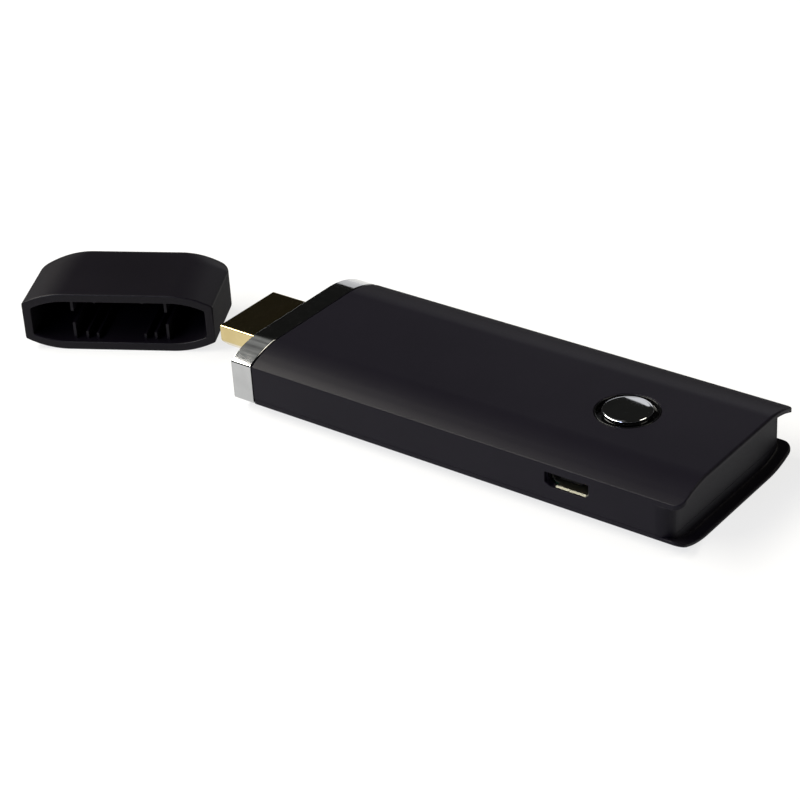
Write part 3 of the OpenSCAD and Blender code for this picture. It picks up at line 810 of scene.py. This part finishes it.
def socket_metal():
    """Folded metal shell of the power socket. Its floor slopes down to the mouth and has the slit
    where the sheet meets, and its mouth steps back on the left."""
    y0, y1 = socket_y, socket_y + socket_depth
    rings = []
    for i in range(EDGE_STEPS + 1):
        angle = math.pi / 2 * i / EDGE_STEPS
        inset = socket_lip_r * (1 - math.sin(angle))
        rings.append(along_y(port_outline(inset), y0 + socket_lip_r * (1 - math.cos(angle))))
    rings.append(along_y(port_outline(0), y1))
    rings.append(along_y(port_outline(socket_t), y1))
    for i in range(EDGE_STEPS + 1):
        angle = math.pi / 2 * i / EDGE_STEPS
        inset = socket_t - socket_edge_r * (1 - math.cos(angle))
        rings.append(along_y(port_outline(inset), y0 + socket_edge_r * (1 - math.sin(angle))))
    shell = loft("socket_metal", rings, cyclic=True)
    floor_z = socket_low.z
    flare_w = socket_w / 2 - socket_cut - port_corner_r
    top_z = floor_z + socket_t
    slope = flare_h / flare_len
    profile = [(y0 - OVERRUN, top_z - flare_h - OVERRUN * slope), (y0 + flare_len, top_z)]
    profile += [(y0 + flare_len, top_z + SLACK), (y0 - OVERRUN, top_z + SLACK)]
    flare = [[(port_x + side * flare_w, y, z) for y, z in profile] for side in (-1, 1)]
    combine(shell, "DIFFERENCE", loft("flare", flare))
    notch_low = (socket_low.x - OVERRUN, y0 - OVERRUN, floor_z - OVERRUN)
    notch_high = (port_x - notch_x, y0 + notch_len, socket_high.z + OVERRUN)
    combine(shell, "DIFFERENCE", box("notch", notch_low, notch_high))
    slit_low = (port_x - slit_w / 2, y0 - OVERRUN, floor_z - OVERRUN)
    slit_high = (port_x + slit_w / 2, y0 + slit_len, floor_z + socket_t + SMALL_OVERRUN)
    combine(shell, "DIFFERENCE", box("slit", slit_low, slit_high))
    y = (y0 + y1 - socket_tab_w) / 2
    tab_high_z = board_top_z + socket_cut + socket_t
    root = socket_w / 2 - socket_t / 2
    for side in (-1, 1):
        near, far = sorted((port_x + side * root, port_x + side * tab_reach))
        tab = box("tab", (near, y, board_top_z), (far, y + socket_tab_w, tab_high_z))
        combine(shell, "UNION", tab)
    return shell


# Materials

def noise(tree, scale, detail=4.0, stretch=(1.0, 1.0, 1.0)):
    """Noise over the object's own coordinates, with its scale in features for each metre."""
    coordinates = tree.nodes.new("ShaderNodeTexCoord")
    mapping = tree.nodes.new("ShaderNodeMapping")
    mapping.inputs["Scale"].default_value = stretch
    texture = tree.nodes.new("ShaderNodeTexNoise")
    texture.inputs["Scale"].default_value = scale
    texture.inputs["Detail"].default_value = detail
    tree.links.new(coordinates.outputs["Object"], mapping.inputs["Vector"])
    tree.links.new(mapping.outputs["Vector"], texture.inputs["Vector"])
    return texture.outputs["Fac"]


def spread(tree, value, low, high):
    """Noise stretched to run from one value to another."""
    ramp = tree.nodes.new("ShaderNodeMapRange")
    ramp.inputs["From Min"].default_value = NOISE_LOW
    ramp.inputs["From Max"].default_value = NOISE_HIGH
    ramp.inputs["To Min"].default_value = low
    ramp.inputs["To Max"].default_value = high
    tree.links.new(value, ramp.inputs["Value"])
    return ramp.outputs["Result"]


def blend_colours(tree, factor, first, second):
    mix = tree.nodes.new("ShaderNodeMix")
    mix.data_type = "RGBA"
    mix.inputs["A"].default_value = (*first, 1)
    mix.inputs["B"].default_value = (*second, 1)
    tree.links.new(factor, mix.inputs["Factor"])
    return mix.outputs["Result"]


def grazing(tree, value, edge_value):
    """Value that changes to another where the surface is seen at a low angle."""
    facing = tree.nodes.new("ShaderNodeLayerWeight")
    ramp = tree.nodes.new("ShaderNodeMapRange")
    ramp.inputs["From Min"].default_value = GRAZING_FROM
    ramp.inputs["From Max"].default_value = GRAZING_TO
    tree.links.new(facing.outputs["Facing"], ramp.inputs["Value"])
    mix = tree.nodes.new("ShaderNodeMix")
    mix.inputs["B"].default_value = edge_value
    tree.links.new(ramp.outputs["Result"], mix.inputs["Factor"])
    tree.links.new(value, mix.inputs["A"])
    return mix.outputs["Result"]


def finish(
    name, dark, light, rough, grain, blotch=60.0, bump=0.0, stretch=(1.0, 1.0, 1.0),
    edge_rough=None, **sockets,
):
    """Material whose colour drifts over large blotches and whose gloss and relief follow a fine
    grain. Grain and blotch are features for each metre, and bump is the relief's height in
    millimetres. A matte one can lose its gloss where it is seen at a low angle."""
    made = bpy.data.materials.new(name)
    made.use_nodes = True
    tree = made.node_tree
    shader = tree.nodes["Principled BSDF"]
    for socket, value in sockets.items():
        shader.inputs[socket.replace("_", " ")].default_value = value
    drift = spread(tree, noise(tree, blotch), 0.0, 1.0)
    tree.links.new(blend_colours(tree, drift, dark, light), shader.inputs["Base Color"])
    fine = noise(tree, grain, stretch=stretch)
    roughness = spread(tree, fine, *rough)
    if edge_rough:
        roughness = grazing(tree, roughness, edge_rough)
    tree.links.new(roughness, shader.inputs["Roughness"])
    if bump:
        relief = tree.nodes.new("ShaderNodeBump")
        relief.inputs["Strength"].default_value = 1.0
        relief.inputs["Distance"].default_value = bump * MM
        tree.links.new(fine, relief.inputs["Height"])
        tree.links.new(relief.outputs["Normal"], shader.inputs["Normal"])
    return made


# Range that the noise mostly keeps to, and the facing values at which a matte surface turns rough
NOISE_LOW, NOISE_HIGH = 0.3, 0.7
GRAZING_FROM, GRAZING_TO = 0.56, 0.78
MATERIALS = {
    "case_black": finish(
        "case_black", (0.0041, 0.0033, 0.0064), (0.0053, 0.0044, 0.0079), (0.37, 0.44), 5000,
        bump=0.0012, edge_rough=0.8, Specular_IOR_Level=0.10,
    ),
    "cap_black": finish(
        "cap_black", (0.0026, 0.0019, 0.0037), (0.0036, 0.0028, 0.0050), (0.33, 0.40), 5000,
        bump=0.0012, edge_rough=0.8, Specular_IOR_Level=0.13,
    ),
    "plate_black": finish(
        "plate_black", (0.006, 0.006, 0.007), (0.010, 0.010, 0.011), (0.40, 0.52), 4000,
        bump=0.0015, Specular_IOR_Level=0.3,
    ),
    "collar_chrome": finish(
        "collar_chrome", (0.42, 0.425, 0.43), (0.48, 0.485, 0.49), (0.05, 0.12), 700,
        blotch=300, bump=0.002, Metallic=1.0,
    ),
    "plug_gold": finish(
        "plug_gold", (0.56, 0.45, 0.22), (0.64, 0.53, 0.28), (0.08, 0.15), 2500,
        blotch=250, bump=0.0008, Metallic=1.0,
    ),
    "insulator_black": finish(
        "insulator_black", (0.0012, 0.0012, 0.0014), (0.0022, 0.0022, 0.0025), (0.45, 0.58), 4000,
        bump=0.002, Specular_IOR_Level=0.07,
    ),
    "contact_gold": finish(
        "contact_gold", (0.78, 0.56, 0.22), (0.88, 0.68, 0.32), (0.16, 0.28), 3000, Metallic=1.0,
    ),
    "bezel_gloss": finish(
        "bezel_gloss", (0.0020, 0.0020, 0.0022), (0.0034, 0.0034, 0.0038), (0.12, 0.18), 900,
        bump=0.0006, Specular_IOR_Level=0.2,
    ),
    "button_chrome": finish(
        "button_chrome", (0.62, 0.63, 0.65), (0.70, 0.71, 0.73), (0.02, 0.05), 700,
        blotch=400, bump=0.0004, Metallic=1.0,
    ),
    "sheet_steel": finish(
        "sheet_steel", (0.46, 0.47, 0.48), (0.58, 0.59, 0.60), (0.22, 0.40), 2500,
        bump=0.0015, stretch=(1.0, 6.0, 1.0), Metallic=1.0,
    ),
    "stem_brown": finish(
        "stem_brown", (0.030, 0.018, 0.012), (0.045, 0.028, 0.018), (0.38, 0.50), 4000, bump=0.002,
    ),
    "socket_metal": finish(
        "socket_metal", (0.20, 0.195, 0.16), (0.26, 0.255, 0.21), (0.32, 0.44), 2500,
        bump=0.0008, Metallic=1.0,
    ),
    "board_green": finish(
        "board_green", (0.006, 0.050, 0.022), (0.012, 0.085, 0.040), (0.28, 0.42), 1800,
        blotch=500, bump=0.004, Coat_Weight=0.4, Coat_Roughness=0.15,
    ),
    "board_blue": finish(
        "board_blue", (0.006, 0.022, 0.085), (0.010, 0.036, 0.130), (0.28, 0.42), 1800,
        blotch=500, bump=0.004, Coat_Weight=0.4, Coat_Roughness=0.15,
    ),
    "chip_black": finish(
        "chip_black", (0.012, 0.012, 0.013), (0.022, 0.022, 0.023), (0.48, 0.62), 6000, bump=0.004,
    ),
    "pad_grey": finish(
        "pad_grey", (0.22, 0.28, 0.34), (0.30, 0.36, 0.42), (0.62, 0.78), 3500, bump=0.008,
    ),
    "spreader_aluminium": finish(
        "spreader_aluminium", (0.62, 0.63, 0.64), (0.74, 0.75, 0.76), (0.24, 0.42), 1500,
        bump=0.002, stretch=(1.0, 14.0, 1.0), Metallic=1.0,
    ),
    "ferrite_grey": finish(
        "ferrite_grey", (0.045, 0.046, 0.050), (0.075, 0.076, 0.080), (0.45, 0.62), 4000,
        bump=0.006,
    ),
    "tantalum_yellow": finish(
        "tantalum_yellow", (0.42, 0.22, 0.03), (0.56, 0.32, 0.05), (0.36, 0.50), 3000, bump=0.003,
    ),
    "ceramic_tan": finish(
        "ceramic_tan", (0.26, 0.18, 0.11), (0.36, 0.26, 0.17), (0.40, 0.55), 5000, bump=0.003,
    ),
}


def bodies_and_slots():
    """The body and the material slot of every CAD node, as the record gives them."""
    record = frame["record"]
    slots = {part["node"]: part["material_slot"] for part in record["subparts"]}
    groups = record["behaviour"]["bodies"]
    bodies = {node: body for body, nodes in groups.items() for node in nodes}
    return bodies, slots


def keep_cad_nodes(slots):
    """Gives the CAD nodes that show as they are their finish, and breaks their sharp edges."""
    for node, piece in frame["nodes"].items():
        if node in BUILDERS:
            continue
        piece.data.materials.clear()
        piece.data.materials.append(MATERIALS[slots[node]])
        weld(piece)
        edges = piece.modifiers.new("broken_edges", "BEVEL")
        edges.width = CAD_EDGE_R * MM
        edges.segments = CAD_EDGE_SEGMENTS
        edges.limit_method = "ANGLE"
        edges.angle_limit = SHARP
        normals = piece.modifiers.new("flat_faces", "WEIGHTED_NORMAL")
        normals.keep_sharp = True


# Weld and broken edges of the CAD nodes that stay
WELD_GAP = 0.001
CAD_EDGE_R = 0.04
CAD_EDGE_SEGMENTS = 2

# The pieces that stand for CAD nodes
BUILDERS = {
    "top_case": top_case,
    "bottom_cover": bottom_cover,
    "nose_collar": collar,
    "plug_shell": plug,
    "plug_cap": cap,
    "button_bezel": bezel,
    "button_cap": button,
    "socket_shell": socket_metal,
    "switch_dome": snap_dome,
}


def build_pieces():
    """Makes each piece that stands for a CAD node, and dresses the nodes that stay."""
    bodies, slots = bodies_and_slots()
    pieces = {}
    for node, build in BUILDERS.items():
        slot = slots[node]
        pieces[node] = dress(build(), bodies[node], slot, MATERIALS[slot], node)
    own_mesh(pieces["switch_dome"])
    keep_cad_nodes(slots)


# Stage, camera and light

def ray_kinds(tree):
    """One for rays of the camera, mirrors and clear glass, which see the white background."""
    path = tree.nodes.new("ShaderNodeLightPath")
    first = tree.nodes.new("ShaderNodeMath")
    first.operation = "MAXIMUM"
    tree.links.new(path.outputs["Is Camera Ray"], first.inputs[0])
    tree.links.new(path.outputs["Is Glossy Ray"], first.inputs[1])
    second = tree.nodes.new("ShaderNodeMath")
    second.operation = "MAXIMUM"
    tree.links.new(first.outputs["Value"], second.inputs[0])
    tree.links.new(path.outputs["Is Transmission Ray"], second.inputs[1])
    return second.outputs["Value"]


def make_floor():
    """Wide white floor that looks white and still takes a soft shadow."""
    half = FLOOR_HALF
    data = bmesh.new()
    corners = [(-half, -half), (half, -half), (half, half), (-half, half)]
    data.faces.new([data.verts.new(Vector((x, y, FLOOR_Z)) * MM) for x, y in corners])
    floor = make_piece("floor", data)
    made = bpy.data.materials.new("floor_white")
    made.use_nodes = True
    tree = made.node_tree
    tree.nodes.clear()
    matte = tree.nodes.new("ShaderNodeBsdfDiffuse")
    matte.inputs["Color"].default_value = (*FLOOR_COLOUR, 1)
    glow = tree.nodes.new("ShaderNodeEmission")
    glow.inputs["Color"].default_value = (1, 1, 1, 1)
    share = tree.nodes.new("ShaderNodeMath")
    share.operation = "MULTIPLY"
    share.inputs[1].default_value = FLOOR_GLOW_SHARE
    tree.links.new(ray_kinds(tree), share.inputs[0])
    mix = tree.nodes.new("ShaderNodeMixShader")
    output = tree.nodes.new("ShaderNodeOutputMaterial")
    tree.links.new(share.outputs["Value"], mix.inputs[0])
    tree.links.new(matte.outputs["BSDF"], mix.inputs[1])
    tree.links.new(glow.outputs["Emission"], mix.inputs[2])
    tree.links.new(mix.outputs["Shader"], output.inputs["Surface"])
    floor.data.materials.append(made)


def make_world():
    """Dark room with grey walls low down and one pale streaky patch above on the left."""
    world = bpy.data.worlds.new("studio")
    bpy.context.scene.world = world
    world.use_nodes = True
    tree = world.node_tree
    background = tree.nodes["Background"]
    coordinates = tree.nodes.new("ShaderNodeTexCoord")

    def nearness(axis, low, high):
        """Zero at one angle above the plane across an axis, and one at another."""
        along = tree.nodes.new("ShaderNodeVectorMath")
        along.operation = "DOT_PRODUCT"
        along.inputs[1].default_value = Vector(axis).normalized()
        tree.links.new(coordinates.outputs["Generated"], along.inputs[0])
        ramp = tree.nodes.new("ShaderNodeMapRange")
        ramp.interpolation_type = "SMOOTHSTEP"
        ramp.inputs["From Min"].default_value = math.sin(math.radians(low))
        ramp.inputs["From Max"].default_value = math.sin(math.radians(high))
        tree.links.new(along.outputs["Value"], ramp.inputs["Value"])
        return ramp.outputs["Result"]

    mapping = tree.nodes.new("ShaderNodeMapping")
    mapping.inputs["Scale"].default_value = PATCH_STRETCH
    streaks = tree.nodes.new("ShaderNodeTexNoise")
    streaks.inputs["Scale"].default_value = PATCH_SCALE
    tree.links.new(coordinates.outputs["Generated"], mapping.inputs["Vector"])
    tree.links.new(mapping.outputs["Vector"], streaks.inputs["Vector"])
    streak = spread(tree, streaks.outputs["Fac"], 0.0, 1.0)
    patch = blend_colours(tree, streak, PATCH_LOW, PATCH_HIGH)
    walls = blend_colours(tree, nearness((0, 0, 1), *SKY_WALLS), SKY_LOW, SKY_DARK)
    colour = blend_colours(tree, nearness(PATCH_AXIS, *PATCH_EDGE), SKY_DARK, SKY_DARK)
    tree.links.new(walls, colour.node.inputs["A"])
    tree.links.new(patch, colour.node.inputs["B"])
    tree.links.new(colour, background.inputs["Color"])
    background.inputs["Strength"].default_value = 1.0


def make_lamp(name, direction, distance, size, turn, glow, colour):
    """Soft lamp in a direction from the middle of the object, facing it and turned in its own
    plane. Its glow is the brightness of its face, where 1 is white."""
    lamp = bpy.data.lights.new(name, "AREA")
    lamp.shape = "RECTANGLE"
    lamp.size, lamp.size_y = size[0] * MM, size[1] * MM
    lamp.energy = glow * math.pi * lamp.size * lamp.size_y
    lamp.color = colour
    holder = bpy.data.objects.new(name, lamp)
    bpy.context.scene.collection.objects.link(holder)
    towards = Vector(direction).normalized()
    holder.location = (LAMP_AIM + towards * distance) * MM
    holder.rotation_mode = "QUATERNION"
    roll = Quaternion((0, 0, 1), math.radians(turn))
    holder.rotation_quaternion = (-towards).to_track_quat("-Z", "Y") @ roll


def make_camera():
    place = Vector(CAMERA_PLACE)
    aim = Vector(CAMERA_AIM)
    data = bpy.data.cameras.new("camera")
    data.lens = CAMERA_LENS
    data.sensor_width = CAMERA_SENSOR
    data.clip_start, data.clip_end = CAMERA_CLIP
    camera = bpy.data.objects.new("camera", data)
    bpy.context.scene.collection.objects.link(camera)
    camera.location = place * MM
    camera.rotation_mode = "QUATERNION"
    roll = Quaternion((0, 0, 1), math.radians(CAMERA_ROLL))
    camera.rotation_quaternion = (aim - place).to_track_quat("-Z", "Y") @ roll
    bpy.context.scene.camera = camera


# Camera fitted to the photograph, with its roll in degrees and its clip range in metres
CAMERA_PLACE = (187.45, -260.52, 190.57)
CAMERA_AIM = (-14.295, -7.91, 5.2)
CAMERA_ROLL = -3.698
CAMERA_LENS = 108.37
CAMERA_SENSOR = 36
CAMERA_CLIP = (0.01, 60)

# Floor and sky. The walls end between two angles above the horizon, and the patch's edge lies
# between two angles above the plane across its axis
FLOOR_Z = -0.02
FLOOR_HALF = 30000
FLOOR_COLOUR = (0.86, 0.86, 0.86)
FLOOR_GLOW_SHARE = 0.75
SKY_WALLS = (2, 12)
SKY_LOW = (0.10, 0.10, 0.10)
SKY_DARK = (0.014, 0.014, 0.013)
PATCH_AXIS = (-0.599, 0.24, 0.764)
PATCH_EDGE = (68, 71)
PATCH_LOW = (0.16, 0.16, 0.155)
PATCH_HIGH = (0.50, 0.50, 0.48)
PATCH_SCALE = 5
PATCH_STRETCH = (1.0, 4.0, 1.0)

# Lamps: direction from the object, distance, size, turn in degrees, glow and colour
LAMP_AIM = Vector((-10, 0, 5))
LAMPS = [
    ("left_lamp", (-0.60, -0.345, 0.722), 700, (900, 200), 0, 18.0, (1.0, 0.97, 0.88)),
    ("right_lamp", (0.44, 0.40, 0.80), 800, (430, 240), 31, 5.0, (1.0, 0.95, 0.80)),
    ("front_lamp", (-0.03, -0.90, 0.47), 1200, (380, 300), 0, 14.0, (0.70, 0.76, 1.0)),
    ("back_card", (-0.422, 0.888, 0.183), 900, (480, 400), -52.9, 0.8, (0.98, 0.98, 1.0)),
]

bpy.context.scene.view_settings.view_transform = "Standard"
make_camera()
build_pieces()
make_floor()
make_world()
for lamp in LAMPS:
    make_lamp(*lamp)
